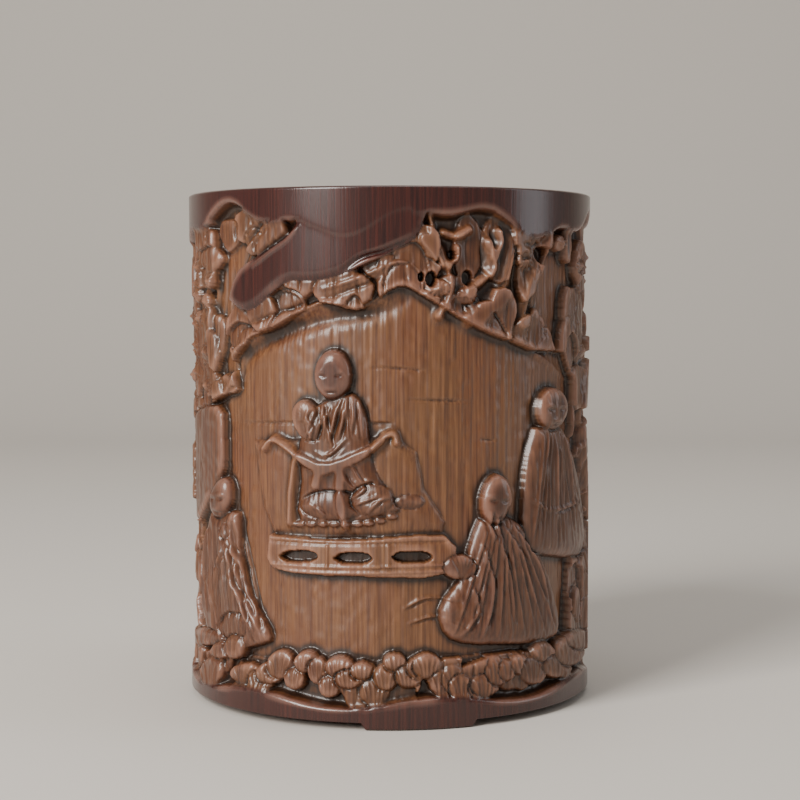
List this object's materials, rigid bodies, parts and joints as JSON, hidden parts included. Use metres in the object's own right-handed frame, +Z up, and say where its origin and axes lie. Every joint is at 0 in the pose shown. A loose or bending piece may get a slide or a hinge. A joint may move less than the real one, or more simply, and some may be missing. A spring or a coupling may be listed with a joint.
{
  "type": "brush pot",
  "caption": "Round carved bamboo brush pot: a thick open culm wall with deep relief all round, on low feet, with a let-in floor disc.",
  "frame": {"origin": "bottom centre of the pot, on the plane of the feet", "axes": "+Z up along the culm, -Y towards the carved front"},
  "size_m": [0.12, 0.12, 0.148],
  "materials": {
    "culm": "polished red-brown bamboo skin over ochre-brown carved ground",
    "floor": "waxed brown wood"
  },
  "bodies": {
    "root": {"culm_wall": "culm", "floor_disc": "floor"}
  },
  "joints": []
}
